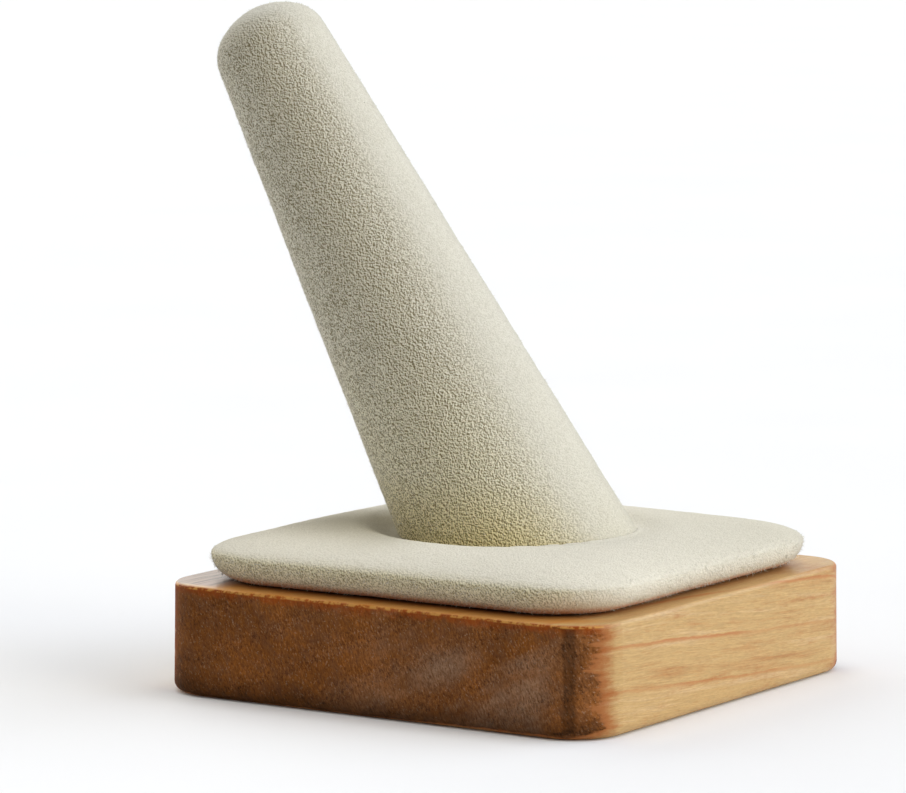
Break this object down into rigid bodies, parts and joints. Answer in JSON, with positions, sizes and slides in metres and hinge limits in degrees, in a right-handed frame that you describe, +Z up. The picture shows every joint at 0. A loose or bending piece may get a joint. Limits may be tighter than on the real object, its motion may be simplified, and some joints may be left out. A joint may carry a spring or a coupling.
{
  "type": "ring display stand",
  "caption": "Square hardwood block with a padded suede deck that carries a leaning, tapered suede finger for showing a ring.",
  "frame": {"origin": "middle of the block's underside, on the surface that the stand rests on", "axes": "+Z up; the display side of the finger and the front of the block face -Y, and the finger leans towards +Y; +X to the right seen from the front; the block's grain runs along X"},
  "size_m": [0.054, 0.0632, 0.071],
  "materials": {
    "hardwood": "satin lacquered oak-like hardwood, grain running from side to side",
    "board": "raw hardboard",
    "padding": "thin open foam",
    "deck_suede": "ivory imitation suede with a short brushed nap",
    "core_wood": "turned softwood, unfinished",
    "finger_suede": "ivory imitation suede with a short brushed nap",
    "screw_steel": "bright zinc plated steel"
  },
  "bodies": {
    "root": {"base_block": "hardwood", "deck_board": "board", "deck_padding": "padding", "deck_cover": "deck_suede", "finger_core": "core_wood", "finger_cover": "finger_suede", "finger_screw": "screw_steel"}
  },
  "joints": []
}
